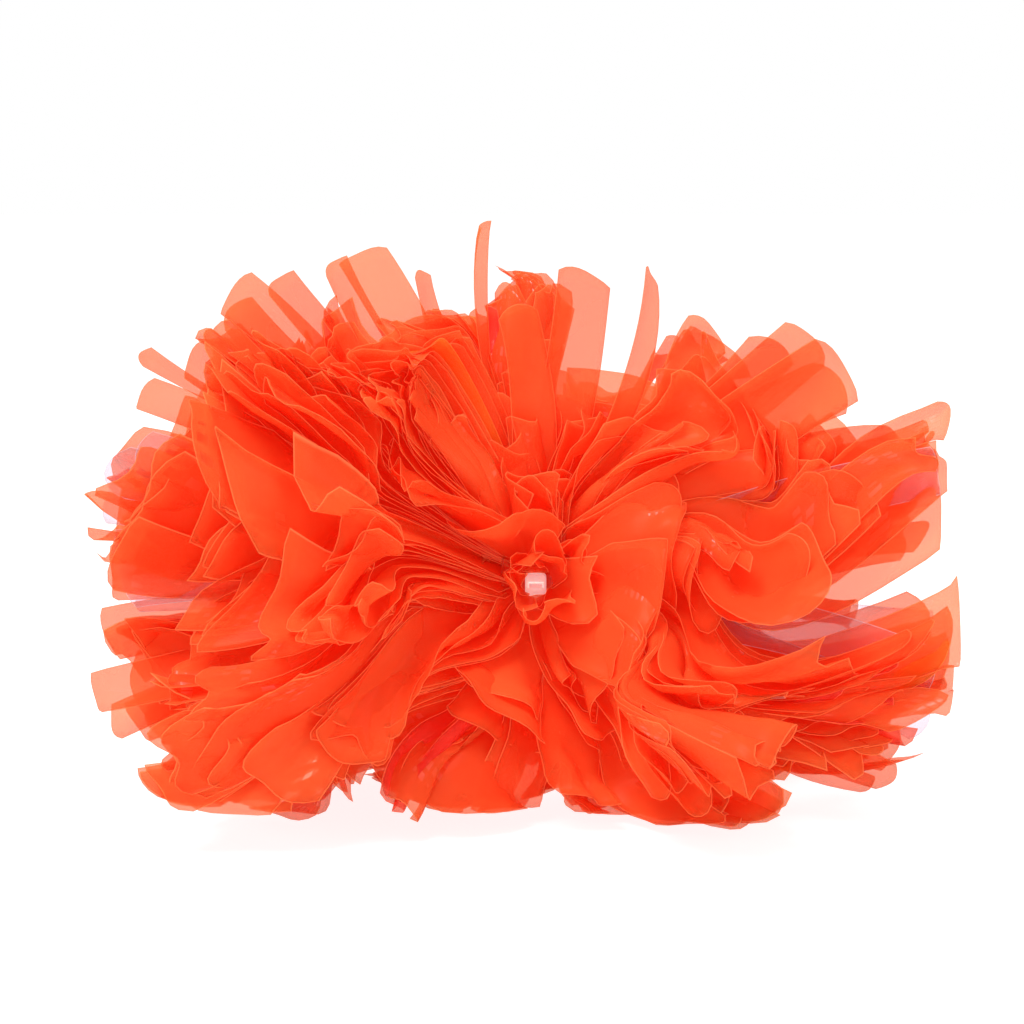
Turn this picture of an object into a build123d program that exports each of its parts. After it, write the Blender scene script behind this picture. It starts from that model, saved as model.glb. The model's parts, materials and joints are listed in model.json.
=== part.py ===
from build123d import *
import os
from math import cos, radians, sin, sqrt

# A fluffed cheer pom pom with a finger ring. Fringed plastic sheets lie on each other along X and one cable tie
# gathers their middles into a round waist. On both sides of the tie the fringes fan out into a ball of streamers.
# The tie also traps the straight bar of an oval ring handle at the back, and the ring swings on that bar.
# Every solid is drawn round the waist's centre. The whole is then moved, so that the origin lies on the floor,
# under the middle of its box. +Z is up, the long axis runs along X, and the tie's head faces the front, -Y.

# The gathered waist
WAIST_R = 11.0
WAIST_HALF = 8.0
ROOT_X = 7.0  # where a side's streamers start to spread, measured from the tie's middle
ROOT_BALL_R = 7.6
FLOOR_DROP = 81.0  # from the waist's centre down to the floor
ROOM = 400.0  # a box bigger than the whole pom pom
# The cable tie
TIE_WIDTH = 4.8
TIE_THICK = 1.3
TIE_PLAY = 0.15  # between the strap and what it holds
HEAD_WIDE = 7.6
HEAD_DEEP = 5.2
HEAD_TALL = 7.0
HEAD_ROUND = 1.2
MOUTH_PLAY = 0.4  # between the tail and the mouth that it comes out of, on every side
MOUTH_DEPTH = 0.7
TAIL_LENGTH = 3.5  # left over where the tie was cut off in front of its head
TAIL_CUT_DEG = 25.0
# The oval ring handle
ROD_R = 2.6
RING_BAR = 14.0  # straight part that lies under the tie
RING_BEND_R = 27.0
ROD_PLAY = 0.3
PIVOT_Y = WAIST_R + ROD_PLAY + ROD_R
# How the streamers are shared out. Azimuth turns about X, from straight up (0) over the front (90) to the back.
SECTOR_HALF_DEG = 25.0
TIP_ROUNDING = 0.88  # reach at a clump's sides over reach at its middle
# Zones between two cones about the long axis: (low angle, high angle, where the clump starts from its root)
ZONES = {
    "outer": (22.0, 46.0, 8.0),
    "middle": (49.0, 71.0, 8.5),
    "inner": (74.0, 86.0, 12.5),
}
BACK_ZONE = (22.0, 39.0, 8.0)  # leaves room for the ring and a hand
END_HALF_DEG = 12.0
END_START = 8.0
CLEAR_LAYER = 3.0  # thickness of the flat bunch of clear streamers in the middle of an end clump
LAYER_GAP = 0.2
# How far each clump reaches from its root: sector: (azimuth, left reaches, right reaches), outer zone first
SECTORS = {
    "top": (0.0, (152.0, 141.0, 131.0), (134.0, 114.0, 114.0)),
    "front_top": (60.0, (138.0, 128.0, 112.0), (132.0, 126.0, 112.0)),
    "front_low": (120.0, (134.0, 124.0, 110.0), (134.0, 124.0, 110.0)),
    "bottom": (180.0, (139.0, 108.0, 96.0), (142.0, 108.0, 96.0)),
    "back_low": (240.0, (136.0,), (134.0,)),
    "back_top": (300.0, (140.0,), (136.0,)),
}
END_REACH = {"left": 152.0, "right": 135.0}
SIDES = {"left": -1, "right": 1}


def profile_point(reach, angle_deg):
    """A point of the half plane (outward along X, radial along Z), seen from the root."""
    return Vector(ROOT_X + reach * cos(radians(angle_deg)), 0, reach * sin(radians(angle_deg)))


def clump_profile(low_deg, high_deg, start, reach):
    """The flat shape that a clump sweeps about X: two straight sides and a rounded tip."""
    side_reach = reach * TIP_ROUNDING
    root_low = profile_point(start, low_deg)
    root_high = profile_point(start, high_deg)
    tip_low = profile_point(side_reach, low_deg)
    tip_high = profile_point(side_reach, high_deg)
    tip_middle = profile_point(reach, (low_deg + high_deg) / 2)
    edges = [
        Line(root_low, tip_low),
        ThreePointArc(tip_low, tip_middle, tip_high),
        Line(tip_high, root_high),
        Line(root_high, root_low),
    ]
    return make_face(edges)


def on_side(shape, side):
    """Shapes are drawn on the right; the left ones are mirrored across the tie."""
    return mirror(shape, Plane.YZ) if SIDES[side] < 0 else shape


def streamer_clump(side, azimuth_deg, zone, reach):
    """A clump of streamers between two cones and two planes through the long axis, cut flat at the floor."""
    low_deg, high_deg, start = zone
    face = clump_profile(low_deg, high_deg, start, reach)
    face = face.rotate(Axis.X, azimuth_deg - SECTOR_HALF_DEG)
    clump = revolve(face, Axis.X, 2 * SECTOR_HALF_DEG)
    above_floor = Box(ROOM, ROOM, ROOM).translate((0, 0, ROOM / 2 - FLOOR_DROP))
    return on_side(clump & above_floor, side)


def end_cone(side):
    """The whole clump that points straight out along the long axis: a cone with a ball tip."""
    reach = END_REACH[side]
    root_high = profile_point(END_START, END_HALF_DEG)
    foot = Vector(root_high.X, 0, 0)
    tip_high = profile_point(reach * TIP_ROUNDING, END_HALF_DEG)
    nose = profile_point(reach, 0)
    ball_x = (nose.X**2 - tip_high.X**2 - tip_high.Z**2) / (2 * (nose.X - tip_high.X))
    shoulder = Vector(ball_x, 0, 0) + Vector(1, 0, 1).normalized() * (nose.X - ball_x)
    edges = [
        Line(foot, root_high),
        Line(root_high, tip_high),
        ThreePointArc(tip_high, shoulder, nose),
        Line(nose, foot),
    ]
    return on_side(revolve(make_face(edges), Axis.X, 360), side)


def end_clumps(side):
    """An end clump's three layers: orange streamers above and below a flat bunch of clear ones."""
    cone = end_cone(side)
    half_layer = CLEAR_LAYER / 2
    above = Box(ROOM, ROOM, ROOM).translate((0, 0, ROOM / 2 + half_layer + LAYER_GAP))
    return {
        f"{side}_end_streamers_upper": cone & above,
        f"{side}_end_streamers_clear": cone & Box(ROOM, ROOM, CLEAR_LAYER),
        f"{side}_end_streamers_lower": cone & mirror(above, Plane.XY),
    }


def sheet_waist():
    """The middles of all the sheets, gathered round, with a ball at both ends where the fringes begin."""
    neck_r = sqrt(ROOT_BALL_R**2 - (WAIST_HALF - ROOT_X) ** 2)
    pole_x = ROOT_X + ROOT_BALL_R
    bulge = (ROOT_X + ROOT_BALL_R * cos(radians(45)), 0, ROOT_BALL_R * sin(radians(45)))
    half = [
        Line((0, 0, 0), (pole_x, 0, 0)),
        ThreePointArc((pole_x, 0, 0), bulge, (WAIST_HALF, 0, neck_r)),
        Line((WAIST_HALF, 0, neck_r), (WAIST_HALF, 0, WAIST_R)),
        Line((WAIST_HALF, 0, WAIST_R), (0, 0, WAIST_R)),
        Line((0, 0, WAIST_R), (0, 0, 0)),
    ]
    right = revolve(make_face(half), Axis.X, 360)
    return right + mirror(right, Plane.YZ)


def tie_loop(grow):
    """The tie's path round the waist and the ring's bar, seen along X, grown outwards by a distance."""
    waist = Circle(WAIST_R + TIE_PLAY + grow)
    bar = Pos(PIVOT_Y, 0) * Circle(ROD_R + ROD_PLAY + grow)
    return make_hull([*waist.edges(), *bar.edges()])


def cable_tie():
    """Strap, head and cut tail: one nylon moulding."""
    loop = Plane.YZ * (tie_loop(TIE_THICK) - tie_loop(0))
    strap = extrude(loop, TIE_WIDTH / 2, both=True)
    head_back = -(WAIST_R + TIE_PLAY)
    head = Box(HEAD_WIDE, HEAD_DEEP, HEAD_TALL).translate((0, head_back - HEAD_DEEP / 2, 0))
    head = fillet(head.edges().filter_by(Axis.Y), HEAD_ROUND)
    mouth = Box(TIE_WIDTH + 2 * MOUTH_PLAY, 2 * MOUTH_DEPTH, TIE_THICK + 2 * MOUTH_PLAY)
    mouth = mouth.translate((0, head_back - HEAD_DEEP, 0))
    tail = Box(TIE_WIDTH, 2 * TAIL_LENGTH, TIE_THICK).translate((0, head_back - HEAD_DEEP, 0))
    cut_plane = Plane((0, head_back - HEAD_DEEP - TAIL_LENGTH, 0), z_dir=(0, -1, 0)).rotated((0, TAIL_CUT_DEG, 0))
    tail = split(tail, cut_plane, keep=Keep.BOTTOM)
    return strap + (head - mouth) + tail


def ring_handle():
    """An oval ring bent from round rod, lying flat behind the waist with one straight bar under the tie."""
    half = RING_BAR / 2
    near = PIVOT_Y
    far = PIVOT_Y + 2 * RING_BEND_R
    middle = PIVOT_Y + RING_BEND_R
    path = Wire(
        [
            Line((-half, near, 0), (half, near, 0)),
            ThreePointArc((half, near, 0), (half + RING_BEND_R, middle, 0), (half, far, 0)),
            Line((half, far, 0), (-half, far, 0)),
            ThreePointArc((-half, far, 0), (-half - RING_BEND_R, middle, 0), (-half, near, 0)),
        ]
    )
    section = Plane((0, near, 0), z_dir=(1, 0, 0)) * Circle(ROD_R)
    return sweep(section, path)


def build_all():
    """Every node of the pom pom, round the waist's centre."""
    parts = {"sheet_waist": sheet_waist(), "cable_tie": cable_tie(), "ring_handle": ring_handle()}
    for side in SIDES:
        parts.update(end_clumps(side))
        for sector, (azimuth_deg, left_reaches, right_reaches) in SECTORS.items():
            reaches = left_reaches if side == "left" else right_reaches
            zones = ZONES if len(reaches) == len(ZONES) else {"outer": BACK_ZONE}
            for (zone_name, zone), reach in zip(zones.items(), reaches):
                name = f"{side}_{sector}_streamers_{zone_name}"
                parts[name] = streamer_clump(side, azimuth_deg, zone, reach)
    return parts


def waist_place(parts):
    """Where the waist's centre goes, so that the whole stands on the floor round the origin."""
    boxes = [shape.bounding_box() for shape in parts.values()]
    middle_x = (min(b.min.X for b in boxes) + max(b.max.X for b in boxes)) / 2
    middle_y = (min(b.min.Y for b in boxes) + max(b.max.Y for b in boxes)) / 2
    return Vector(-middle_x, -middle_y, FLOOR_DROP)


if __name__ == "__main__":
    nodes = build_all()
    place = waist_place(nodes)
    os.makedirs("parts", exist_ok=True)
    for node, shape in nodes.items():
        export_step(shape.translate(place), f"parts/{node}.step")
    print("waist centre at", [round(v, 3) for v in place])
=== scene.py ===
import json
from math import cos, pi, radians, sin

import bpy
import numpy as np
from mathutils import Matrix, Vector


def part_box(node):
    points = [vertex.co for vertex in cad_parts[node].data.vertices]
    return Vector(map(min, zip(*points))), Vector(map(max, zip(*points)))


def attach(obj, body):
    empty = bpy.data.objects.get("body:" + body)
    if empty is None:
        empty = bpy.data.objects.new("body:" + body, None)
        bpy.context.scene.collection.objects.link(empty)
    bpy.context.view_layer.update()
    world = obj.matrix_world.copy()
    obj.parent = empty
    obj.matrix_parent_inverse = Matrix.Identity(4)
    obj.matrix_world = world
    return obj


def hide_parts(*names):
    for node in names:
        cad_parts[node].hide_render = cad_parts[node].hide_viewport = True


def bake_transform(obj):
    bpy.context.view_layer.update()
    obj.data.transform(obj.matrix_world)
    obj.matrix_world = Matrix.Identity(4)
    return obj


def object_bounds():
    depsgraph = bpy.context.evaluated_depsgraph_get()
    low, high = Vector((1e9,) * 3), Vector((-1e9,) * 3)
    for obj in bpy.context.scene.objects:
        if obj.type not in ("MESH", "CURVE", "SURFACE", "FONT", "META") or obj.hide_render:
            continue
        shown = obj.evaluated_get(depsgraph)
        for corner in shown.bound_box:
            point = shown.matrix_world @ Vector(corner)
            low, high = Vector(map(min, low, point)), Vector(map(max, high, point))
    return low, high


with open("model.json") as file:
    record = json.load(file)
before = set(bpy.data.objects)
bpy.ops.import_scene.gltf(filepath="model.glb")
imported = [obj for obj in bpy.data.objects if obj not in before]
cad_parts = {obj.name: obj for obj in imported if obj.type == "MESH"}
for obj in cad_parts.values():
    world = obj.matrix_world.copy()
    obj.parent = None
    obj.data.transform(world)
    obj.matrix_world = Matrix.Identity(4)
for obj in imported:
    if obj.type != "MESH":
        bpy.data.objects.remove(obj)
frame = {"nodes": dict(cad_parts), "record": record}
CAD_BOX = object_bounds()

# A fluffed cheer pom pom. Its film streamers are built in millimetres round the waist's centre, where the
# cable tie is, and put in place at the end. A streamer is a ribbon that runs out from the waist. All ribbons
# follow the level curves of one smooth field of directions, so that they lie in swirling stacks and seldom
# cut through each other. Points and directions are arrays whose last axis is x, y, z.
MM = 0.001
FILM_THICK = 0.14
STREAMER_HALF = 9.5  # half of a streamer's cut width


def middle_of(node):
    low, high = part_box(node)
    return (low + high) / 2


WAIST = middle_of("sheet_waist")
FLOOR_Z = -WAIST.z / MM


# ---------------------------------------------------------------- small helpers
def unit(v):
    return v / np.maximum(np.linalg.norm(v, axis=-1, keepdims=True), 1e-12)


def dot(a, b):
    return np.sum(a * b, axis=-1, keepdims=True)


def angle_of(cosine):
    return np.arccos(np.clip(cosine, -1, 1))


def smooth(x, low, high):
    """0 below low, 1 above high, and an S curve between them."""
    t = np.clip((x - low) / (high - low), 0, 1)
    return t * t * (3 - 2 * t)


def from_waist(corner):
    """A point of the frame, in millimetres from the waist's centre."""
    return (np.array(corner) - np.array(WAIST)) / MM


def waves(seed, count, shortest, longest):
    """A smooth random field, as a sum of plane waves between two wavelengths."""
    rng = np.random.default_rng(seed)
    number = 2 * pi / rng.uniform(shortest, longest, count)
    heading = unit(rng.normal(size=(count, 3)))
    phase = rng.uniform(0, 2 * pi, count)
    return {"k": heading * number[:, None], "phase": phase, "size": np.sqrt(2 / count) / number}


def wave_value(field, p):
    return np.sum(np.sin(p @ field["k"].T + field["phase"]) * field["size"], axis=-1, keepdims=True)


# ---------------------------------------------------------------- the streamers' field
# It swirls all over. Round the view's axis it makes pleated rings, whose streamers open like a flower, and in
# some directions the pleats grow into mounds of full stacks. A turn in the view starts at +X, over the top.
VIEW_TILT_DEG = 8.0
FUNNEL_AXIS = np.array([0.0, -cos(radians(VIEW_TILT_DEG)), sin(radians(VIEW_TILT_DEG))])
PICTURE_UP = np.array([0.0, sin(radians(VIEW_TILT_DEG)), cos(radians(VIEW_TILT_DEG))])
FLOWER_REACH = radians(64)
FLOWER_LOPSIDED = radians(20)  # the flower opens wider to the upper right
FLOWER_TURN = radians(40)
SWIRLS = waves(71, 60, 0.33, 1.05)
PLEATS = waves(72, 24, 0.6, 1.3)
RING_SLOPE = 1.5
RINGS_BEYOND = 0.12  # how much of the rings is left beyond the flower
PLEATS_FADE = (0.2, 0.8)  # angles from the axis between which the pleats grow to their full size
PLEATS_STRETCH = 0.5  # a pleat is this much of a wave long, from the axis outwards
PLEATS_OPEN = 0.32  # size of the pleats where the flower is open, and in the mounds
PLEATS_MOUND = 0.85
MOUNDS_DEG = ((172, 27), (-40, 26), (127, 14), (212, 16))  # each one's turn in the view, and its half width
MOUND_CORE = 0.55  # a mound is full this far out, over its half width, and gone at its rim
MOUND_RIM = 1.3
ASIDE = np.array([0.31, 0.17, 0.94])  # sets up axes along the sphere, in any direction but its own
SLOPE_REACH = 2e-3
FLATTEST = 0.02  # keeps the step back to a level curve short where the field is flat
BIGGEST_FIX = 0.6


def round_view(u):
    """A direction's angle from the view's axis, and the cosine and sine of its turn round it."""
    right = u[..., :1]
    up = dot(u, PICTURE_UP)
    size = np.maximum(np.sqrt(right**2 + up**2), 1e-6)
    return angle_of(dot(u, FUNNEL_AXIS)), right / size, up / size


def in_view(turn_deg, angle_deg):
    """The direction at a turn in the view and an angle from its axis."""
    turn, angle = radians(turn_deg), radians(angle_deg)
    sideways = np.array([cos(turn), 0, 0]) + PICTURE_UP * sin(turn)
    return FUNNEL_AXIS * cos(angle) + sideways * sin(angle)


def toward_opening(right, up):
    """1 towards the side where the flower opens widest, -1 on the other side."""
    return right * cos(FLOWER_TURN) + up * sin(FLOWER_TURN)


def mound_share(right, up):
    """1 in the middle of a mound, 0 where the flower is open, by the turn in the view."""
    share = 0
    for turn_deg, half_deg in MOUNDS_DEG:
        off = angle_of(right * cos(radians(turn_deg)) + up * sin(radians(turn_deg)))
        full = 1 - smooth(off, MOUND_CORE * radians(half_deg), MOUND_RIM * radians(half_deg))
        share = np.maximum(share, full)
    return share


def field_value(u):
    angle, right, up = round_view(u)
    place = np.concatenate([right, up, angle * PLEATS_STRETCH], axis=-1)
    pleat_size = PLEATS_OPEN + (PLEATS_MOUND - PLEATS_OPEN) * mound_share(right, up)
    pleats = wave_value(PLEATS, place) * smooth(angle, *PLEATS_FADE) * pleat_size
    opening = FLOWER_REACH + FLOWER_LOPSIDED * toward_opening(right, up)
    share = RINGS_BEYOND + (1 - RINGS_BEYOND) * np.exp(-((angle / opening) ** 4))
    return (1 - share) * wave_value(SWIRLS, u) + share * RING_SLOPE * (angle + pleats)


def field_at(u):
    """The field's value and its slope along the sphere, at unit directions u."""
    first = unit(np.cross(u, ASIDE))
    second = np.cross(u, first)
    slope = 0
    for t in (first, second):
        rise = field_value(unit(u + t * SLOPE_REACH)) - field_value(unit(u - t * SLOPE_REACH))
        slope = slope + t * (rise / (2 * SLOPE_REACH))
    return field_value(u), slope


def trace(u, level, step):
    """One step along the level curve, at u. step is an angle, with its sign."""
    along = unit(np.cross(u, field_at(u)[1]))
    half_way = unit(u + along * step / 2)
    along = unit(np.cross(half_way, field_at(half_way)[1]))
    there = unit(u + along * step)
    value, slope = field_at(there)
    back = (value - level) * slope / np.maximum(dot(slope, slope), FLATTEST)
    size = np.linalg.norm(back, axis=-1, keepdims=True)
    back = back * np.minimum(1, BIGGEST_FIX * np.abs(step) / np.maximum(size, 1e-9))
    return unit(there - back)


# ---------------------------------------------------------------- the clumps, as the CAD gives them
OUTER_PART = 0.7  # a clump's outer part starts at this share of its reach
COVER_SAMPLES = 60


def read_clumps():
    """Each streamer node's body, reach, and the directions that its outer part covers."""
    clumps = {}
    body_of = {n: b for b, nodes in frame["record"]["behaviour"]["bodies"].items() for n in nodes}
    for name, node in frame["nodes"].items():
        if "_streamers_" not in name or name.endswith("_clear"):
            continue
        points = from_waist([v.co for v in node.data.vertices])
        far = np.linalg.norm(points, axis=1)
        outer = unit(points[far > OUTER_PART * far.max()])
        covers = outer[:: max(1, len(outer) // COVER_SAMPLES)]
        clumps[name] = {"body": body_of[name], "reach": far.max(), "covers": covers,
                        "heading": unit(outer.mean(axis=0))}
    return clumps


CLUMPS = read_clumps()
CLUMP_NAMES = sorted(CLUMPS)
HEADINGS = np.array([CLUMPS[n]["heading"] for n in CLUMP_NAMES])
REACHES = np.array([CLUMPS[n]["reach"] for n in CLUMP_NAMES])
COVER_DIRS = np.concatenate([CLUMPS[n]["covers"] for n in CLUMP_NAMES])
COVER_CLUMP = np.concatenate([np.full(len(CLUMPS[n]["covers"]), i) for i, n in enumerate(CLUMP_NAMES)])
REACH_BLUR = radians(13)
UNEVEN = waves(31, 30, 0.35, 0.8)
UNEVEN_SIZE = 0.9
# How much of the full reach streamers have, by their angle from the view's axis: the flower's petals are
# shorter inside, and the mounds' stacks stand up from them
BOWL = (np.radians([15, 32, 50, 68, 85]), [0.30, 0.42, 0.68, 0.9, 1.0])
MOUND_RISE = (np.radians([18, 34, 48, 85]), [0.34, 0.72, 0.93, 1.0])
TOP_LOOSE = 0.34  # at the top only loose streamers reach as far as the clumps do
BOX_LOW, BOX_HIGH = (from_waist(corner) for corner in CAD_BOX)
LEAST_SLANT = 0.05  # keeps the room finite along a wall of the box


def nearest_clump(u):
    """Index of the clump nearest to each direction, and how far off it is."""
    likeness = u @ COVER_DIRS.T
    return COVER_CLUMP[likeness.argmax(axis=1)], angle_of(likeness.max(axis=1))


def local_reach(u):
    """How far the streamers reach in each direction: a blend of the clumps around it."""
    off = angle_of(u @ HEADINGS.T)
    weight = np.exp(-0.5 * (off / REACH_BLUR) ** 2) + 1e-9
    reach = (weight @ REACHES) / weight.sum(axis=1)
    angle, right, up = (x[:, 0] for x in round_view(u))
    mound = mound_share(right, up)
    bowl = (1 - mound) * np.interp(angle, *BOWL) + mound * np.interp(angle, *MOUND_RISE)
    bulk = 1 - TOP_LOOSE * np.maximum(u[:, 2], 0) ** 3
    return reach * bowl * bulk * (1 + UNEVEN_SIZE * wave_value(UNEVEN, u)[:, 0])


def room_for(u):
    """How far a streamer can reach, as seen from above, before it leaves the CAD's box."""
    slant = np.where(np.abs(u) < LEAST_SLANT, LEAST_SLANT * np.sign(u + 1e-9), u)
    return (np.where(u > 0, BOX_HIGH, BOX_LOW) / slant)[:, :2].min(axis=1)


# ---------------------------------------------------------------- what the streamers leave free
# The oval ring lies flat behind the waist and swings on its straight bar, which is under the tie.
RING_LOW, RING_HIGH = (from_waist(corner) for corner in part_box("ring_handle"))
ROD = (RING_HIGH[2] - RING_LOW[2]) / 2
BAR_Y = RING_LOW[1] + ROD
RING_BEND = (RING_HIGH[1] - RING_LOW[1]) / 2 - ROD
RING_BAR_HALF = (RING_HIGH[0] - RING_LOW[0]) / 2 - ROD - RING_BEND
RING_MARGIN = 3.0
ROD_MARGIN = 1.5
RING_SWING = radians(45)
RING_ZONE_HALF = radians(56)  # the ring's swing, and room for the streamers to sway
ROOT_R = 11.0
HEAD_FACE = np.array([0.0, -17.0, 0.0])  # the front of the tie's head
HEAD_VIEW = 3.6  # nothing grows over the head this close to its middle, as the camera sees it
HEAD_SIDE = (0.24, 0.35)  # angles from the head's middle, between which its side ends
BESIDE_TIE = 4.7
CLOSE_OVER_HEAD = (17.0, 10.0)  # from where a ribbon moves in from beside the tie, and over what length
CLOSE_OVER_STRAP = (14.0, 8.0)
FLOOR_GAP = 0.5
FLOOR_ROOM = 20.0
WALL_PLAY = 9.0  # how far streamers may reach out of the CAD's box
WALL_ROOM = 16.0


def in_ring_zone(p):
    """Which points lie where the oval ring and a finger in it pass, at any angle of its swing."""
    from_bar = p[..., 1] - BAR_Y
    out = np.hypot(from_bar, p[..., 2])
    oval = np.sqrt(np.maximum(RING_BEND**2 - (out - RING_BEND) ** 2, 0))
    half = RING_BAR_HALF + oval + ROD + RING_MARGIN
    swung = np.arctan2(np.abs(p[..., 2]), from_bar)
    beyond = 2 * RING_BEND + ROD + RING_MARGIN
    by_rod = out * np.sin(np.clip(swung - RING_SWING, 0, pi / 2)) < ROD + ROD_MARGIN
    return (np.abs(p[..., 0]) < half) & (out < beyond) & ((swung < RING_ZONE_HALF) | by_rod)


def covers_head(p):
    """Which points lie in front of the tie's head, as seen along the flower's axis."""
    from_head = p - HEAD_FACE
    beside = np.linalg.norm(from_head - dot(from_head, FUNNEL_AXIS) * FUNNEL_AXIS, axis=-1)
    return (beside < HEAD_VIEW) & (np.linalg.norm(p, axis=-1) > ROOT_R) & (p[..., 1] < 0)


def leave_waist(p, side):
    """Close to the waist a ribbon comes out beside the tie, not through it."""
    off_head = smooth(angle_of(-unit(p)[..., 1]), *HEAD_SIDE)
    start, length = (a + (b - a) * off_head for a, b in zip(CLOSE_OVER_HEAD, CLOSE_OVER_STRAP))
    near = 1 - smooth((np.linalg.norm(p, axis=-1) - start) / length, 0, 1)
    x = side * p[..., 0]
    pushed = (x + np.sqrt(x * x + 4 * (BESIDE_TIE * near) ** 2)) / 2
    out = p.copy()
    out[..., 0] = side * (x + (pushed - x) * near)
    return out


def keep_inside(p):
    """Presses what would reach through the floor, or far out of the CAD's box, flat in front of it."""
    walls = [(2, -1, -FLOOR_Z - FLOOR_GAP, FLOOR_ROOM)]
    walls += [(axis, -1, WALL_PLAY - BOX_LOW[axis], WALL_ROOM) for axis in (0, 1)]
    walls += [(axis, 1, WALL_PLAY + BOX_HIGH[axis], WALL_ROOM) for axis in (0, 1, 2)]
    out = p.copy()
    for axis, sign, wall, room in walls:
        over = np.maximum(sign * out[..., axis] - (wall - room), 0)
        out[..., axis] = np.where(over > 0, sign * (wall - room * np.exp(-over / room)), out[..., axis])
    return out


# ---------------------------------------------------------------- ribbons in stacks
GATHER = 0.45  # a ribbon's half width over its distance from the waist, where it is gathered
NOT_WOUND = 0.5  # a ribbon whose two edges come closer than this share of its width is left out
ROWS_SPREAD = 0.8  # below 1, a ribbon's rows of points lie closer together towards its tip
SLANT = 2.2
BENDS = [waves(seed, 20, 62, 110) for seed in (21, 22, 23)]
BEND_SIZE = 9.0
BEND_WAVE = 85.0
BEND_FADE = (25, 115)  # distances from the waist between which the bends grow to their full size
CURLS = waves(41, 24, 0.3, 0.7)
TWISTS = waves(42, 24, 0.3, 0.7)
CURL_SIZE = 95.0  # mm for each unit of the curls' field
TWIST_SIZE = 60.0
FULL_CURL_REACH = 90.0  # shorter ribbons curl and twist less
FREE_LENGTH = 60.0  # a ribbon's tip moves on its own over this length, or over this share of a short one
FREE_SHARE = 0.6
OWN_CURL, OWN_TWIST, OWN_CUP = 2.0, 1.5, 1.6
PACES = (0.7, 1.4)
RUFFLE_SIZE = 1.5
RUFFLE_WAVE = 38.0
RUFFLE_AT_ROOT, RUFFLE_GROWTH = 0.15, 0.45
RUFFLE_SKEW = 2.2  # how far a ruffle runs ahead at one edge, in radians
FINE_SIZE, FINE_PACE, FINE_SKEW = 0.6, 1.9, -3.1  # a finer one on top, by shares of the first, and its skew
HEM_SIZE = 2.1
HEM_OWN = 0.9
HEM_WAVE = 19.0
LOBE_SIZE = 1.4
LOBE_WAVE = 20.0
CORNER_ROUND = 0.17


def bend_space(p):
    """Bends all the ribbons together, so that they curve along their length and stay apart."""
    share = smooth(np.linalg.norm(p, axis=-1, keepdims=True), *BEND_FADE)
    shift = np.concatenate([wave_value(w, p) for w in BENDS], axis=-1)
    return p + shift * share * (BEND_SIZE * 2 * pi / BEND_WAVE)


def trace_rows(seeds, half_angle, steps):
    """The directions of each ribbon's points: from its middle, steps to both sides along its level curve."""
    level = field_at(seeds)[0][:, None, :]
    middle = np.repeat(seeds[:, None, :], half_angle.shape[1], axis=1)
    rows = np.zeros((*middle.shape[:2], 2 * steps + 1, 3))
    rows[:, :, steps] = middle
    step = (half_angle / steps)[..., None]
    for sign in (-1, 1):
        u = middle
        for i in range(1, steps + 1):
            u = trace(u, level, sign * step)
            rows[:, :, steps + sign * i] = u
    return rows


def ribbons(seeds, half_width, reach, across, along, rng):
    """The middle surfaces of many ribbons: points (ribbon, along, across, 3), and their film coordinates.
    Film coordinates are the distance to the side edge, the distance to the tip, and a random number."""
    count = len(seeds)
    share = np.linspace(0, 1, along) ** ROWS_SPREAD
    place = np.linspace(-1, 1, across)
    radius = ROOT_R + share[None, :] * (reach[:, None] - ROOT_R)
    half = np.minimum(half_width[:, None], GATHER * radius)
    rows = trace_rows(seeds, half / radius, (across - 1) // 2)
    slant = rng.normal(0, SLANT, count)[:, None, None] * place[None, None, :] * share[None, :, None]
    outline = tip_outline(half_width[:, None], place, reach[:, None])[:, None, :] * share[None, :, None] ** 4
    points = rows * (radius[:, :, None, None] + (slant + outline)[..., None])
    normal = unit(field_at(rows)[1])
    points = points + normal * tip_moves(seeds, place, half, radius, reach, rng)[..., None]
    points = leave_waist(points, np.sign(seeds[:, 0])[:, None, None])
    points = keep_inside(bend_space(points))
    film = np.zeros((count, along, across, 3))
    film[..., 0] = (1 - np.abs(place))[None, None, :] * half[:, :, None]
    film[..., 1] = (reach[:, None] - radius)[..., None]
    film[..., 2] = rng.uniform(0, 1, count)[:, None, None]
    tip_width = np.linalg.norm(rows[:, -1, 0] - rows[:, -1, -1], axis=1) * reach
    wound_up = tip_width < NOT_WOUND * 2 * half[:, -1]
    kept = ~(in_ring_zone(points) | covers_head(points)).any(axis=(1, 2)) & ~wound_up
    return points[kept], film[kept]


def tip_outline(half, place, phase):
    """How far a ribbon's cut end reaches out or in, across its width: shallow lobes and rounded corners."""
    lobes = LOBE_SIZE * np.sin(place * half * 2 * pi / LOBE_WAVE + phase)
    return lobes - CORNER_ROUND * half * place**6


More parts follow.
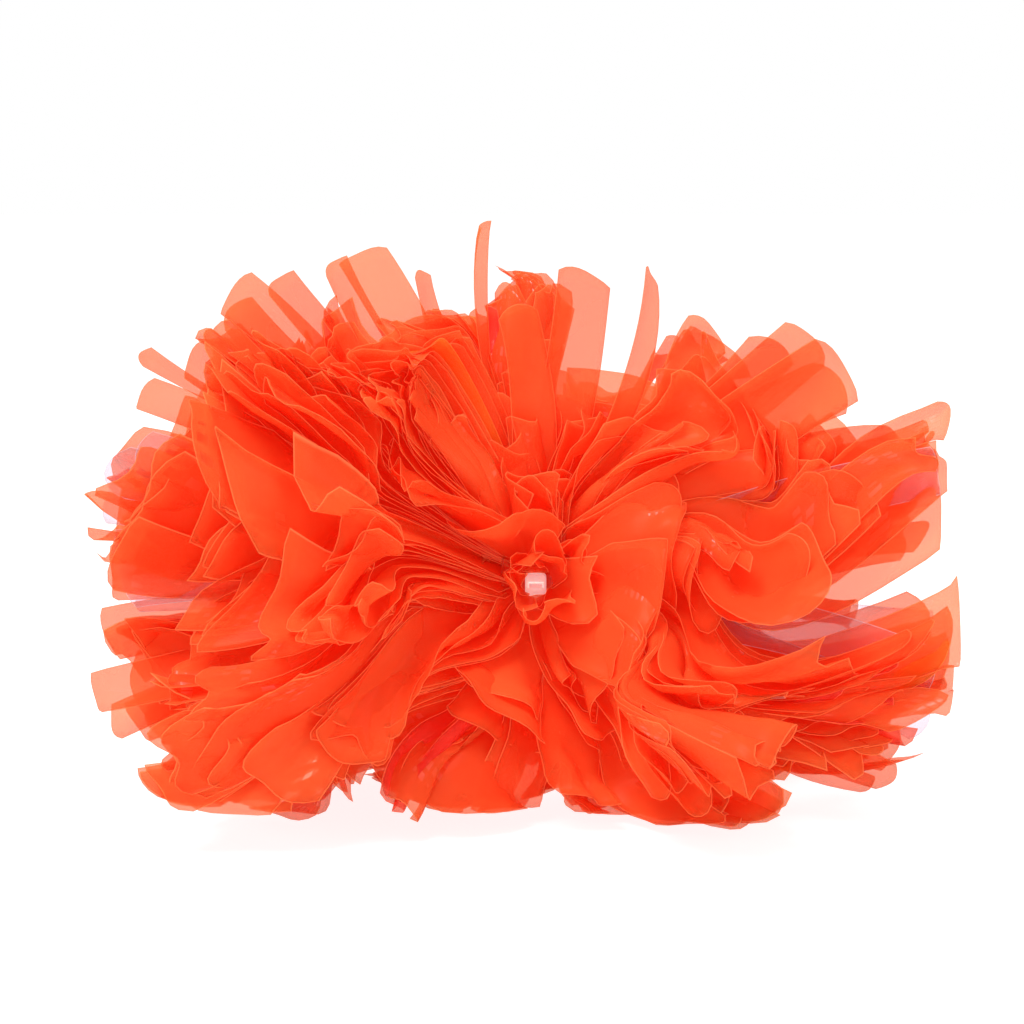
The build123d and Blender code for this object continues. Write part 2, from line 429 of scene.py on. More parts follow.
def tip_moves(seeds, place, half, radius, reach, rng):
    """How far points leave their level surface: curls and twists that neighbours share, and own waves."""
    count = len(seeds)
    loose = np.minimum(FREE_LENGTH, FREE_SHARE * reach)[:, None]
    free = np.clip(1 - (reach[:, None] - radius) / loose, 0, 1)[:, :, None]
    short = np.clip(reach / FULL_CURL_REACH, 0, 1)[:, None, None]
    own = rng.normal(0, 1, (count, 4))[:, None, None, :]
    phase = rng.uniform(0, 2 * pi, (count, 3))[:, None, None, :]
    pace = rng.uniform(*PACES, count)[:, None, None]
    curl = CURL_SIZE * short * wave_value(CURLS, seeds)[:, :, None] + OWN_CURL * own[..., 0]
    twist = TWIST_SIZE * short * wave_value(TWISTS, seeds)[:, :, None] + OWN_TWIST * own[..., 1]
    place = place[None, None, :]
    bent = curl * free**2 + twist * place * free**1.5 + OWN_CUP * own[..., 2] * place**2 * free
    run = radius[:, :, None] * 2 * pi / RUFFLE_WAVE * pace
    ruffle = np.sin(run + phase[..., 0] + place * RUFFLE_SKEW)
    ruffle = ruffle + FINE_SIZE * np.sin(FINE_PACE * run + phase[..., 1] + place * FINE_SKEW)
    hem = np.sin(place * half[:, -1:, None] * 2 * pi / HEM_WAVE * pace + phase[..., 2])
    hem = hem * (HEM_SIZE + HEM_OWN * own[..., 3])
    return bent + RUFFLE_SIZE * ruffle * (RUFFLE_AT_ROOT + RUFFLE_GROWTH * free) + hem * free**2


# ---------------------------------------------------------------- where the stacks go
STACK_SPACING = radians(7.9)
MAX_OFF_CLUMP = radians(8)
FUNNEL_HOLE = radians(14.5)
HOLE_LOPSIDED = radians(4)
LEAST_SLOPE = 0.22  # no seeds where the field is flatter than this
SLIT_HALF = sin(radians(4.5))  # between the upper and the lower streamers, towards both ends
# By the angle from the view's axis: the share of stacks kept, the chance of a petal and its half width over a
# streamer's, and the chance of a short stack
STACKS_KEPT = (np.radians([18, 35, 75]), [0.34, 0.4, 1.0])
PETAL_CHANCE = (np.radians([40, 85]), [1.0, 0.3])
PETAL_WIDEST = (np.radians([30, 58, 75]), [3.1, 1.7, 1.25])
PETAL_NARROWEST = (np.radians([30, 58]), [1.8, 1.0])
SHORT_CHANCE = ([0.8, 1.1], [0.3, 0.48])
MOUND_WIDEST = ([0.7, 1.15], [1.8, 1.15])
MOUND_BAND = ((0.45, 0.7), (1.3, 1.6))  # angles between which a mound's stacks begin and end
PETAL_LAYERS_AT = (0.5, 0.9)  # angles from which petals come in one more layer
# Short petals close round the tie's head: turn in the view, angle from the view's axis, reach and half width
COLLAR = (
    (62, 16, 46, 11), (96, 14, 40, 10), (90, 12, 36, 8), (128, 15, 44, 11), (168, 16, 40, 9),
    (205, 15, 47, 11), (248, 14, 44, 11), (274, 15, 50, 12), (302, 15, 43, 11), (338, 17, 46, 10),
    (84, 20, 52, 13), (262, 21, 58, 14), (288, 23, 55, 13),
)


def scatter(rng, spacing, tries=60000):
    """Directions spread evenly over the sphere, none closer than spacing."""
    kept = np.zeros((0, 3))
    least = cos(spacing)
    for u in unit(rng.normal(size=(tries, 3))):
        if len(kept) == 0 or (kept @ u).max() < least:
            kept = np.vstack([kept, u])
    return kept


def allowed(u):
    """Where streamers grow: near a clump, outside the funnel, and not in the slits between the halves."""
    _, off = nearest_clump(u)
    from_axis, right, up = (x[:, 0] for x in round_view(u))
    hole = FUNNEL_HOLE + HOLE_LOPSIDED * toward_opening(right, up)
    slit = (np.abs(u[:, 2]) < SLIT_HALF * smooth(np.abs(u[:, 0]), 0.4, 0.8)) & (u[:, 1] < 0.3)
    steep = np.linalg.norm(field_at(u)[1], axis=1)
    return (off < MAX_OFF_CLUMP) & (from_axis > hole) & ~slit & (steep > LEAST_SLOPE)


def plan_stack(rng, from_axis, mound):
    """A stack's half width, number of layers, gap between them, and reach as a share of the local reach."""
    petal = rng.random() < np.interp(from_axis, *PETAL_CHANCE)
    widest = np.interp(from_axis, *PETAL_WIDEST)
    narrowest = np.interp(from_axis, *PETAL_NARROWEST)
    half = rng.uniform(narrowest, widest) * STREAMER_HALF if petal else STREAMER_HALF
    most = 2 + sum(from_axis > limit for limit in PETAL_LAYERS_AT)
    layers = rng.integers(1, most) if petal else rng.integers(2, 6)
    gap = radians(rng.uniform(0.9, 2.0))
    short = rng.random() < np.interp(from_axis, *SHORT_CHANCE)
    reach = rng.uniform(0.62, 0.88) if short else rng.normal(0.98, 0.05)
    if rng.random() < mound:
        half = rng.uniform(1.0, np.interp(from_axis, *MOUND_WIDEST)) * STREAMER_HALF
        layers = rng.integers(4, 8)
        gap = radians(rng.uniform(0.9, 1.5))
        reach = rng.normal(0.97, 0.05)
    return half, layers, gap, reach


def stack_seeds(rng):
    """Seeds, reaches and half widths of all streamers: those in stacks, and the collar's."""
    seeds, share, wide = [], [], []
    for centre in scatter(rng, STACK_SPACING):
        _, slope = field_at(centre)
        across = slope / max(np.linalg.norm(slope), 1e-6)
        along = np.cross(centre, across)
        from_axis, right, up = (float(x[0]) for x in round_view(centre))
        begin, end = MOUND_BAND
        mound = float(mound_share(right, up)) * smooth(from_axis, *begin) * (1 - smooth(from_axis, *end))
        if rng.random() > max(mound, np.interp(from_axis, *STACKS_KEPT)):
            continue
        half, layers, gap, reach = plan_stack(rng, from_axis, mound)
        for i in range(layers):
            shift = across * (i - (layers - 1) / 2) * gap + along * rng.normal(0, radians(1.5))
            seeds.append(unit(centre + shift))
            share.append(reach + rng.normal(0, 0.025))
            wide.append(half * rng.uniform(0.9, 1.05))
    keep = allowed(np.array(seeds))
    seeds = np.array(seeds)[keep]
    reach = np.concatenate([np.array(share)[keep] * local_reach(seeds), [entry[2] for entry in COLLAR]])
    wide = np.concatenate([np.array(wide)[keep], [entry[3] for entry in COLLAR]])
    seeds = np.concatenate([seeds, [in_view(turn, angle) for turn, angle, _, _ in COLLAR]])
    return seeds, np.minimum(reach, room_for(seeds) * rng.uniform(0.85, 1.02, len(seeds))), wide


# ---------------------------------------------------------------- meshes
def sheet_normals(points):
    along = np.gradient(points, axis=1)
    across = np.gradient(points, axis=2)
    return unit(np.cross(along, across))


def grid_faces(along, across):
    """Quads of a closed sheet: front, back and the rim, with the back's points after the front's."""
    index = np.arange(along * across).reshape(along, across)
    corners = [index[:-1, :-1], index[:-1, 1:], index[1:, 1:], index[1:, :-1]]
    front = np.stack(corners, axis=-1).reshape(-1, 4)
    back = front[:, ::-1] + along * across
    loop = np.concatenate([index[0, :], index[1:, -1], index[-1, -2::-1], index[-2:0:-1, 0]])
    following = np.roll(loop, -1)
    rim = np.stack([following, loop, loop + along * across, following + along * across], axis=-1)
    return np.concatenate([front, back, rim]), np.repeat([True, False], [2 * len(front), len(rim)])


def closed_sheets(points, film):
    """Thin closed solids round the middle surfaces: vertices, quads, film coordinates, and which quads are
    smooth."""
    count, along, across, _ = points.shape
    offset = sheet_normals(points) * FILM_THICK / 2
    sides = [(points + offset).reshape(count, -1, 3), (points - offset).reshape(count, -1, 3)]
    vertices = np.concatenate(sides, axis=1)
    coordinates = np.concatenate([film.reshape(count, -1, 3)] * 2, axis=1)
    quads, rounded = grid_faces(along, across)
    faces = quads[None] + (np.arange(count) * 2 * along * across)[:, None, None]
    return vertices.reshape(-1, 3), faces.reshape(-1, 4), coordinates.reshape(-1, 3), np.tile(rounded, count)


def new_piece(name, mesh, film, material):
    """An object of the mesh, with its film coordinates and its material, in the scene."""
    attribute = mesh.attributes.new("film", "FLOAT_VECTOR", "POINT")
    attribute.data.foreach_set("vector", film.astype(np.float32).ravel())
    mesh.materials.append(material)
    piece = bpy.data.objects.new(name, mesh)
    bpy.context.scene.collection.objects.link(piece)
    return piece


def mesh_piece(name, parts, material):
    """One object from a list of what closed_sheets returns."""
    starts = np.cumsum([0] + [len(p[0]) for p in parts])[:-1]
    vertices = np.concatenate([p[0] for p in parts]) * MM + np.array(WAIST)
    faces = np.concatenate([p[1] + s for p, s in zip(parts, starts)])
    mesh = bpy.data.meshes.new(name)
    mesh.vertices.add(len(vertices))
    mesh.vertices.foreach_set("co", vertices.astype(np.float32).ravel())
    mesh.loops.add(faces.size)
    mesh.loops.foreach_set("vertex_index", faces.astype(np.int32).ravel())
    mesh.polygons.add(len(faces))
    mesh.polygons.foreach_set("loop_start", np.arange(0, faces.size, 4, dtype=np.int32))
    mesh.polygons.foreach_set("use_smooth", np.concatenate([p[3] for p in parts]))
    mesh.update(calc_edges=True)
    return new_piece(name, mesh, np.concatenate([p[2] for p in parts]), material)


# ---------------------------------------------------------------- single streamers that stick out
# Each one: turn in the view, lean towards the front, reach, half width, how far its face is turned away from
# the front, and how far its tip curls. Angles are in degrees.
STRAYS = [
    (105, 8, 134, 5.0, 62, 10), (117, 4, 134, 9.0, 12, -6), (113, -6, 119, 5.5, 48, 4),
    (82, 6, 115, 9.8, 10, 5), (62, 12, 116, 5.0, 40, -16), (57, 0, 99, 6.0, 30, 8),
    (95, 10, 103, 8.0, 25, 3), (37, 8, 137, 13.5, 8, 5), (41, 3, 133, 11.0, 16, -3),
    (33, -4, 131, 11.0, 4, 4), (45, 0, 122, 10.0, 20, 2), (135, 4, 151, 9.0, 20, -4),
    (132, 9, 145, 8.0, 35, 5), (139, -3, 147, 8.0, 12, 3), (126, 6, 137, 7.0, 40, 8),
    (152, 5, 163, 7.5, 60, 4), (154, -2, 159, 8.5, 45, -3), (148, 10, 150, 8.0, 30, 6),
    (187, 5, 157, 9.5, 6, 2), (195, 12, 165, 9.5, 40, 4), (197, 8, 162, 9.5, 48, -3),
    (201, 4, 155, 9.0, 30, 3), (7, 8, 143, 8.5, 45, -3), (14, 2, 141, 9.5, 20, 3),
    (24, 6, 141, 9.5, 28, 4), (330, 6, 150, 9.5, 12, 3), (326, 12, 146, 8.5, 35, -4),
    (334, 0, 147, 9.5, 22, 5), (241, 15, 96, 9.0, 25, 4), (303, 20, 104, 9.0, 30, 3),
]
CLEAR_STRAYS = [
    (178, 15, 150, 9.5, 5, 3), (175, 9, 153, 9.5, 14, -4), (165, 12, 160, 9.5, 22, 3),
    (169, 5, 158, 9.5, 15, 3), (182, 2, 146, 9.0, 15, 3), (159, 16, 152, 9.0, 30, -3),
    (349, 15, 148, 9.5, 8, 4), (353, 8, 146, 9.0, 20, -3), (18, 12, 152, 9.5, 18, 3),
    (13, 5, 151, 9.5, 30, -3), (343, 9, 150, 9.5, 30, 5),
]
LONE_START = 0.25  # a lone ribbon starts at this share of its reach
ROOT_TURN = radians(22)  # how far its face is turned at its root, at random
LONE_SWAY = 10.0
TIP_CURL = 1.7
CUP, OWN_LONE_CUP = 0.16, 0.12  # how far its edges stand forward, over its half width
RIPPLE, OWN_RIPPLE = 1.0, 0.4
RIPPLE_RUN, RIPPLE_SKEW = 6.5, 1.8  # radians of a ripple along the ribbon, and from its middle to an edge
CUT_WAVE, CUT_SLANT = 0.8, 1.2
LEAST_ROUNDING, OWN_ROUNDING = 0.25, 0.25


def lone_ribbon(out, reach, half=STREAMER_HALF, facing_deg=20.0, curl=4.0, across=9, along=18):
    """A ribbon on its own, straight out from the waist: its middle surface and its film coordinates."""
    turn = np.degrees(np.arctan2(out[2], out[0]))
    rng = np.random.default_rng(int(abs(turn) * 7 + reach))
    front = unit(FUNNEL_AXIS - (FUNNEL_AXIS @ out) * out)
    side = np.cross(out, front)
    free = np.linspace(0, 1, along)[:, None]
    facing = radians(facing_deg) + ROOT_TURN * rng.normal() * (1 - free) ** 1.5
    face = front * np.cos(facing) + side * np.sin(facing)
    wide = np.cross(face, out)
    radius = np.linspace(LONE_START, 1, along) * reach
    place = np.linspace(-1, 1, across)[None, :]
    own = rng.normal(0, 1, 4)
    lift = TIP_CURL * curl * free**3 + (CUP + OWN_LONE_CUP * own[0]) * half * place**2 * (0.3 + free)
    lift = lift + (RIPPLE + OWN_RIPPLE * own[1]) * np.sin(RIPPLE_RUN * free + RIPPLE_SKEW * place + turn)
    sway = LONE_SWAY * own[2] * (free**2 - free)
    half_here = np.minimum(half, GATHER * radius)[:, None]
    rounding = (LEAST_ROUNDING + OWN_ROUNDING * abs(own[0])) * half * (1 - np.sqrt(1 - 0.9 * place**2))
    cut = (CUT_WAVE * np.sin(2.4 * place + turn) + CUT_SLANT * own[3] * place - rounding) * free**8
    points = out * (radius[:, None] + cut)[..., None] + face[:, None, :] * lift[..., None]
    points = points + wide[:, None, :] * (half_here * place + sway)[..., None]
    to_tip = np.broadcast_to((reach - radius)[:, None], lift.shape)
    chance = np.full(lift.shape, rng.random() * 0.9)
    film = np.stack([(1 - np.abs(place)) * half_here, to_tip, chance], axis=-1)
    return keep_inside(points[None]), film[None]


def stray(turn_deg, lean_deg, reach, half, facing_deg, curl):
    """A loose ribbon by its turn in the view and its lean towards the front: its direction and its sheet."""
    turn, lean = radians(turn_deg), radians(lean_deg)
    out = np.array([cos(turn) * cos(lean), -sin(lean), sin(turn) * cos(lean)])
    return out, closed_sheets(*lone_ribbon(out, reach, half, facing_deg, curl))


# ---------------------------------------------------------------- the pieces
NARROW_POINTS, WIDE_POINTS, POINTS_ALONG = 9, 15, 20
WIDE_HALF = 12  # ribbons from this half width on have more points across
WAIST_PLEATS = 34
WAIST_HALF = 11.5
WAIST_R = 10.9
WAIST_END = 8.0  # where the middles of its two end faces are
FLARE_START = 4.0
FLARE = 1.75
FOLD_DEEP = 0.5
FOLD_WITH_FLARE = 0.11
RING_SIDE = (radians(62), radians(100))  # angles from the back, between which the flare sets in


def build_streamers(material):
    """A piece of film streamers for every clump, with the name of the clump's node."""
    rng = np.random.default_rng(7)
    seeds, reach, wide = stack_seeds(rng)
    clump, _ = nearest_clump(seeds)
    loose = [stray(*entry) for entry in STRAYS]
    loose_clump, _ = nearest_clump(np.array([out for out, _ in loose]))
    made = []
    for i, name in enumerate(CLUMP_NAMES):
        parts = []
        for mine, across in ((wide < WIDE_HALF, NARROW_POINTS), (wide >= WIDE_HALF, WIDE_POINTS)):
            mine = mine & (clump == i)
            if mine.any():
                points, film = ribbons(seeds[mine], wide[mine], reach[mine], across, POINTS_ALONG, rng)
                parts += [closed_sheets(points, film)] if len(points) else []
        parts += [sheet for (_, sheet), c in zip(loose, loose_clump) if c == i]
        if not parts:
            parts = [closed_sheets(*lone_ribbon(CLUMPS[name]["heading"], CLUMPS[name]["reach"]))]
        made.append((mesh_piece(name.replace("streamers", "film_streamers"), parts, material), name))
    return made


def hang_on(piece, node):
    """The piece is fixed in place in the world, and stands for the clump's solid, which is hidden."""
    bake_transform(piece)
    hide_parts(node)


def build_clear_streamers(material):
    """The clear, faintly lilac streamers at both ends."""
    sheets = [stray(*entry) for entry in CLEAR_STRAYS]
    for side, sign in (("left", -1), ("right", 1)):
        parts = [sheet for out, sheet in sheets if np.sign(out[0]) == sign]
        piece = mesh_piece(f"{side}_clear_film_streamers", parts, material)
        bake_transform(piece)
        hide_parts(f"{side}_end_streamers_clear")


def waist_shell(around, along):
    """The gathered film's pleated surface, which flares at both sides but not at the ring: its points."""
    turn = np.linspace(0, 2 * pi, around, endpoint=False)
    share = np.linspace(-1, 1, along)
    x = WAIST_HALF * np.sign(share) * np.abs(share) ** 1.3
    off_ring = smooth(np.arccos(np.cos(turn - pi / 2)), *RING_SIDE)
    flare = FLARE * np.maximum(np.abs(x) - FLARE_START, 0)[:, None] * off_ring[None, :]
    fold = np.abs(np.sin(turn * WAIST_PLEATS / 2 + 0.7 * np.sin(3 * turn)))
    fold = fold[None, :] * (1 + 0.35 * np.sin(2 * turn + 1))
    radius = WAIST_R + flare - fold * (FOLD_DEEP + FOLD_WITH_FLARE * flare)
    lean = 0.9 * np.sin(5 * turn + 2)[None, :] * smooth(np.abs(x), 4, 9)[:, None] * np.sign(x)[:, None]
    return np.stack([x[:, None] + lean, radius * np.sin(turn), radius * np.cos(turn)], -1)


def build_waist(material):
    """The gathered middles of the sheets: sharp pleats under the tie, which fan out beside it."""
    around, along = 300, 25
    ends = [np.array([[side * WAIST_END, 0, 0]]) for side in (-1, 1)]
    vertices = np.concatenate([waist_shell(around, along).reshape(-1, 3), *ends]) * MM + np.array(WAIST)
    pairs = [(a, (a + 1) % around) for a in range(around)]
    last = (along - 1) * around
    sides = [(row + a, row + around + a, row + around + b, row + b)
             for row in range(0, last, around) for a, b in pairs]
    left = [(along * around, a, b) for a, b in pairs]
    right = [(along * around + 1, last + b, last + a) for a, b in pairs]
    mesh = bpy.data.meshes.new("gathered_film_waist")
    mesh.from_pydata([tuple(v) for v in vertices], [], sides + left + right)
    mesh.polygons.foreach_set("use_smooth", [True] * len(sides) + [False] * (len(left) + len(right)))
    film = np.tile([4.0, 60.0, 0.3], (len(vertices), 1))
    piece = new_piece("gathered_film_waist", mesh, film, material)
    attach(piece, "core")
    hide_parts("sheet_waist")


# ---------------------------------------------------------------- materials
# Places in a material are in metres, as the pieces are.
EDGE_HIGHLIGHT_FADE = (0.05, 0.4)  # distances from a film's edge, in mm, over which its painted edge highlight fades
# share of the painted edge highlight's lighter colour in the film's colour
EDGE_HIGHLIGHT_SHARE = 0.14
EDGE_COVER = 0.22
INDIRECT_COVER = 1.8  # for light that the camera doesn't see directly, the film covers this much more
THROUGH_SHARE = 0.42  # of the light that the film scatters, the part that comes out on its other side
MOST_SHINE = 0.16
# colour of the film's painted glow, which keeps its shaded parts red instead of dark
PAINTED_GLOW_RED = (1.0, 0.04, 0.01, 1)
CLOUDS = 38.0  # noise scales, over a metre: the film's clouds, its fine crinkles, and the plastic's clouds
CRINKLES = 120.0
PLASTIC_CLOUDS = 90.0
CRINKLE_BUMP = (0.08, 0.0006)  # strength, and depth in metres
RELIEF_BUMP = (0.4, 0.0003)
RARE_FROM = ((0.96, 0.965), (0.988, 0.99))  # streamers with random numbers above these have rare colours
FILM_ROUGH, FILM_IOR = 0.3, 1.45
TEETH_AROUND = 60.0


class Nodes:
    """A short way to write a node tree."""

    def __init__(self, name):
        self.material = bpy.data.materials.new(name)
        self.material.use_nodes = True
        self.tree = self.material.node_tree
        self.tree.nodes.clear()

    def add(self, kind, inputs=None, **settings):
        node = self.tree.nodes.new(kind)
        for key, value in settings.items():
            setattr(node, key, value)
        for key, value in (inputs or {}).items():
            if isinstance(value, bpy.types.NodeSocket):
                self.tree.links.new(value, node.inputs[key])
            else:
                node.inputs[key].default_value = value
        return node

    def math(self, operation, a, b=0.0):
        return self.add("ShaderNodeMath", {0: a, 1: b}, operation=operation).outputs[0]

    def noise(self, place, scale, detail):
        settings = {"Vector": place, "Scale": scale, "Detail": detail}
        return self.add("ShaderNodeTexNoise", settings).outputs["Fac"]

    def bump(self, height, strength, distance):
        settings = {"Height": height, "Strength": strength, "Distance": distance}
        return self.add("ShaderNodeBump", settings).outputs["Normal"]

    def ramp(self, value, low, high, start=0.0, stop=1.0):
        settings = {"Value": value, "From Min": low, "From Max": high, "To Min": start, "To Max": stop}
        return self.add("ShaderNodeMapRange", settings, interpolation_type="SMOOTHSTEP").outputs[0]

    def mix_color(self, factor, a, b):
        """The mix node has sockets for each type; a colour's are the ones numbered here."""
        return self.add("ShaderNodeMix", {0: factor, 6: a, 7: b}, data_type="RGBA").outputs[2]

    def mix(self, factor, a, b):
        return self.add("ShaderNodeMixShader", {0: factor, 1: a, 2: b}).outputs[0]

    def plus(self, a, b):
        return self.add("ShaderNodeAddShader", {0: a, 1: b}).outputs[0]

    def finish(self, shader):
        self.add("ShaderNodeOutputMaterial", {"Surface": shader})
        return self.material


def film_color(n, place, chance, body, body_alt, rare):
    """Cloudy, a little different on each streamer, and another colour on a few, by their random number."""
    cloud = n.noise(place, CLOUDS, 1.0)
    shade = n.math("ADD", n.math("MULTIPLY", chance, 0.6), n.math("MULTIPLY", cloud, 0.5))
    color = n.mix_color(shade, body, body_alt)
    for limits, other in zip(RARE_FROM, rare):
        color = n.mix_color(n.ramp(chance, *limits), color, other)
    return color


def film_material(name, body, body_alt, rare, tint, edge_highlight, cover, painted_glow, painted_edge_glow, painted_glow_color=PAINTED_GLOW_RED):
    """Thin plastic film: see-through where single, glowing where layered, with a faint painted glow of its
    own, and a painted highlight along its cut edges.
    """
    n = Nodes(name)
    film = n.add("ShaderNodeAttribute", attribute_name="film").outputs["Vector"]
    to_side, to_tip, chance = n.add("ShaderNodeSeparateXYZ", {"Vector": film}).outputs
    # The band along the cut edges where a highlight is painted: a lighter colour and a stronger glow
    edge_highlight_band = n.ramp(n.math("MINIMUM", to_side, to_tip), *EDGE_HIGHLIGHT_FADE, 1.0, 0.0)
    place = n.add("ShaderNodeTexCoord").outputs["Object"]
    color = film_color(n, place, chance, body, body_alt, rare)
    color = n.mix_color(n.math("MULTIPLY", edge_highlight_band, EDGE_HIGHLIGHT_SHARE), color, edge_highlight)
    bump = n.bump(n.noise(place, CRINKLES, 1.0), *CRINKLE_BUMP)
    reflect = n.add("ShaderNodeBsdfDiffuse", {"Color": color, "Normal": bump}).outputs[0]
    pass_on = n.add("ShaderNodeBsdfTranslucent", {"Color": color, "Normal": bump}).outputs[0]
    scattered = n.mix(THROUGH_SHARE, reflect, pass_on)
    clear = n.add("ShaderNodeBsdfTransparent", {"Color": tint}).outputs[0]
    seen = n.add("ShaderNodeLightPath").outputs["Is Camera Ray"]
    covering = n.ramp(seen, 0, 1, min(1, cover * INDIRECT_COVER), cover)
    covering = n.math("ADD", covering, n.math("MULTIPLY", edge_highlight_band, EDGE_COVER))
    # Painted light: the film glows by itself, deep red, and more along its cut edges as a painted highlight
    strength = n.math("ADD", painted_glow, n.math("MULTIPLY", edge_highlight_band, painted_edge_glow))
    glowing = n.mix_color(edge_highlight_band, painted_glow_color, edge_highlight)
    light = n.add("ShaderNodeEmission", {"Color": glowing, "Strength": strength}).outputs[0]
    sheet = n.plus(n.mix(covering, clear, scattered), light)
    gloss = n.add("ShaderNodeBsdfGlossy", {"Roughness": FILM_ROUGH}).outputs[0]
    fresnel = n.add("ShaderNodeFresnel", {"IOR": FILM_IOR}).outputs[0]
    outside = n.math("SUBTRACT", 1.0, n.add("ShaderNodeNewGeometry").outputs["Backfacing"])
    shine = n.math("MINIMUM", n.math("MULTIPLY", fresnel, outside), MOST_SHINE)
    n.material.cycles.emission_sampling = "NONE"
    return n.finish(n.mix(shine, sheet, gloss))


def moulded_material(name, color, alt, roughness, speck, painted_inner_glow, relief):
    """Moulded plastic: a faint cloudiness, fine grain, a relief, light that sinks in and passes on, and a
    painted glow in its own colour that lightens the shade falling on it.
    """
    n = Nodes(name)
    place = n.add("ShaderNodeTexCoord").outputs["Object"]
    grain = n.noise(place, speck, 2.0)
    base = n.mix_color(n.noise(place, PLASTIC_CLOUDS, 4.0), color, alt)
    rough = n.ramp(grain, 0.3, 0.7, roughness - 0.06, roughness + 0.08)
    height = n.math("ADD", n.math("MULTIPLY", grain, 0.25), relief(n, place))
    shader = n.add("ShaderNodeBsdfPrincipled", {
        "Base Color": base, "Roughness": rough, "Normal": n.bump(height, *RELIEF_BUMP), "IOR": 1.5,
        "Subsurface Weight": 0.5, "Subsurface Radius": (0.003, 0.002, 0.0015), "Subsurface Scale": 0.6,
        # The emission is painted light: the plastic glows in its own colour
        "Emission Color": base, "Emission Strength": painted_inner_glow,
    }).outputs[0]
    return n.finish(shader)


def strap_teeth(n, place):
    """The fine teeth across a cable tie's strap, round the waist, which stop short of the strap's edges."""
    offset = n.add("ShaderNodeVectorMath", {0: place, 1: WAIST}, operation="SUBTRACT").outputs[0]
    x, y, z = n.add("ShaderNodeSeparateXYZ", {0: offset}).outputs
    wave = n.math("SINE", n.math("MULTIPLY", n.math("ARCTAN2", z, y), TEETH_AROUND))
    return n.math("MULTIPLY", wave, n.ramp(n.math("ABSOLUTE", x), 0.0014, 0.0018, 0.5, 0.0))


def parting_line(n, place):
    """The thin raised line that a two-part mould leaves round the ring's rod."""
    z = n.add("ShaderNodeSeparateXYZ", {0: place}).outputs[2]
    return n.ramp(n.math("ABSOLUTE", n.math("SUBTRACT", z, WAIST.z)), 0.0001, 0.0003, 1.0, 0.0)


# In these films the edge colour and its glow paint a highlight along the cut edges, and the glow all over is
# painted light.
def orange_film():
    return film_material(
        "orange_film", body=(0.93, 0.145, 0.038, 1), body_alt=(0.96, 0.31, 0.09, 1),
        rare=((0.95, 0.12, 0.085, 1), (0.97, 0.31, 0.04, 1)), tint=(1, 0.76, 0.66, 1),
        edge_highlight=(1, 0.36, 0.17, 1), cover=0.36, painted_glow=0.05, painted_edge_glow=0.09)


def clear_film():
    return film_material(
        "clear_film", body=(0.88, 0.78, 0.86, 1), body_alt=(0.93, 0.87, 0.92, 1),
        rare=((0.9, 0.7, 0.82, 1), (0.8, 0.8, 0.92, 1)), tint=(0.945, 0.885, 0.93, 1),
        edge_highlight=(0.95, 0.9, 0.94, 1), cover=0.07, painted_glow=0.0, painted_edge_glow=0.03, painted_glow_color=(1, 1, 1, 1))


def gathered_film():
    return film_material(
        "gathered_film", body=(0.87, 0.055, 0.012, 1), body_alt=(0.92, 0.11, 0.03, 1),
        rare=((0.87, 0.06, 0.02, 1), (0.9, 0.1, 0.02, 1)), tint=(1, 0.6, 0.45, 1), edge_highlight=(0.95, 0.2, 0.07, 1),
        cover=0.96, painted_glow=0.03, painted_edge_glow=0.1)


def tie_nylon():
    return moulded_material(
        "tie_nylon", (0.93, 0.9, 0.87, 1), (0.86, 0.82, 0.79, 1), roughness=0.36, speck=900,
        painted_inner_glow=0.28, relief=strap_teeth)


def ring_plastic():
    return moulded_material(
        "ring_plastic", (0.83, 0.83, 0.81, 1), (0.76, 0.76, 0.75, 1), roughness=0.3, speck=700,
        painted_inner_glow=0.05, relief=parting_line)


def coat(node, material):
    """Gives a CAD node that stays in sight its material."""
    materials = frame["nodes"][node].data.materials
    materials.clear()
    materials.append(material)


# ---------------------------------------------------------------- stage, light and camera
ROOM_LIGHT = 0.58
BACKDROP_LIGHT = 1.0
FLOOR_LIFT = 0.95
FLOOR_HALF = 12.0
FLOOR_DROP = 0.0002
# Each one: name, place, size and power
LIGHTS = (("softbox_top", (-0.5, -0.7, 1.5), 0.8, 31), ("softbox_side", (1.3, -0.6, 0.7), 0.9, 5),
          ("softbox_back", (0.3, 1.5, 0.9), 1.0, 7))
CAMERA_LENS = 85
CAMERA_SENSOR = 36
CAMERA_FROM = 0.88


def floor_material():
    """A pale floor, lifted to the backdrop's brightness where no shadow falls on it, with a faint shadow."""
    n = Nodes("pale_floor")
    place = n.add("ShaderNodeTexCoord").outputs["Object"]
    base = n.mix_color(n.noise(place, 3.0, 3.0), (0.9, 0.9, 0.9, 1), (0.93, 0.93, 0.925, 1))
    seen = n.add("ShaderNodeLightPath").outputs["Is Camera Ray"]
    lit_color = n.mix_color(seen, base, (0.3, 0.3, 0.3, 1))
    lit = n.add("ShaderNodeBsdfPrincipled", {"Base Color": lit_color, "Roughness": 0.7}).outputs[0]
    strength = n.math("MULTIPLY", seen, FLOOR_LIFT)
    lift = n.add("ShaderNodeEmission", {"Color": base, "Strength": strength}).outputs[0]
    return n.finish(n.plus(lit, lift))


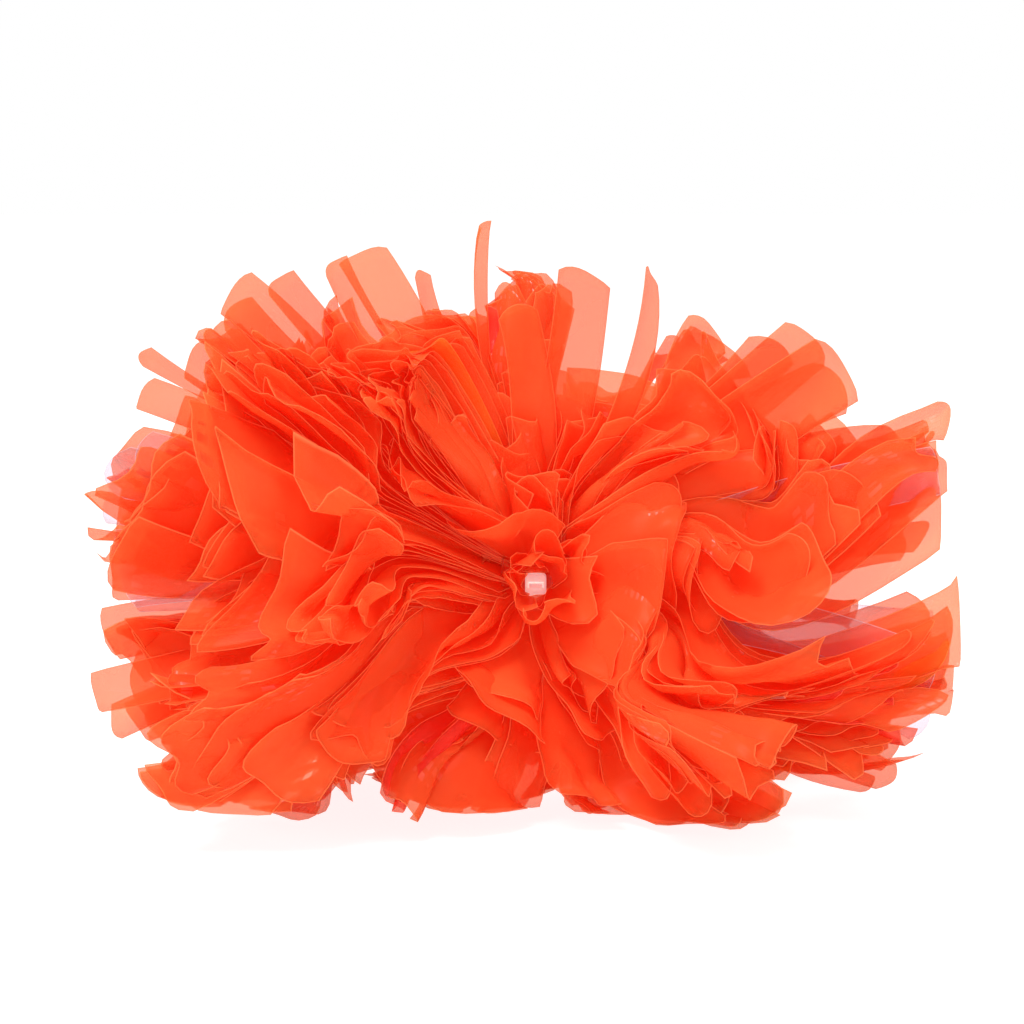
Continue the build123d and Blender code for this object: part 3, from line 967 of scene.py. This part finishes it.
def build_floor():
    corners = [(x * FLOOR_HALF, y * FLOOR_HALF, 0) for x, y in ((-1, -1), (1, -1), (1, 1), (-1, 1))]
    mesh = bpy.data.meshes.new("floor")
    mesh.from_pydata(corners, [], [(0, 1, 2, 3)])
    mesh.materials.append(floor_material())
    floor = bpy.data.objects.new("floor", mesh)
    floor.location.z = -FLOOR_DROP
    bpy.context.scene.collection.objects.link(floor)


def area_light(name, place, size, power):
    data = bpy.data.lights.new(name, "AREA")
    data.size = size
    data.energy = power
    lamp = bpy.data.objects.new(name, data)
    lamp.location = place
    lamp.rotation_euler = (WAIST - Vector(place)).to_track_quat("-Z", "Y").to_euler()
    bpy.context.scene.collection.objects.link(lamp)


def room():
    """A white room that the camera sees brighter than it lights the pom pom."""
    world = bpy.data.worlds.new("studio")
    world.use_nodes = True
    tree = world.node_tree
    background = tree.nodes["Background"]
    background.inputs["Color"].default_value = (1, 1, 1, 1)
    seen = tree.nodes.new("ShaderNodeLightPath").outputs["Is Camera Ray"]
    strength = tree.nodes.new("ShaderNodeMapRange")
    strength.inputs["To Min"].default_value = ROOM_LIGHT
    strength.inputs["To Max"].default_value = BACKDROP_LIGHT
    tree.links.new(seen, strength.inputs["Value"])
    tree.links.new(strength.outputs[0], background.inputs["Strength"])
    bpy.context.scene.world = world


def camera():
    data = bpy.data.cameras.new("camera")
    data.lens = CAMERA_LENS
    data.sensor_width = CAMERA_SENSOR
    low, high = CAD_BOX
    aim = Vector((0, WAIST.y, (low.z + high.z) / 2))
    view = bpy.data.objects.new("camera", data)
    view.location = aim + Vector(FUNNEL_AXIS) * CAMERA_FROM
    view.rotation_euler = (aim - view.location).to_track_quat("-Z", "Y").to_euler()
    bpy.context.scene.collection.objects.link(view)
    bpy.context.scene.camera = view


def picture_settings():
    scene = bpy.context.scene
    scene.view_settings.view_transform = "Standard"
    scene.cycles.max_bounces = 10
    scene.cycles.diffuse_bounces = 7
    scene.cycles.transparent_max_bounces = 16


# ---------------------------------------------------------------- everything together
for streamers, clump_node in build_streamers(orange_film()):
    hang_on(streamers, clump_node)
build_clear_streamers(clear_film())
build_waist(gathered_film())
coat("cable_tie", tie_nylon())
coat("ring_handle", ring_plastic())
build_floor()
room()
for light in LIGHTS:
    area_light(*light)
camera()
picture_settings()
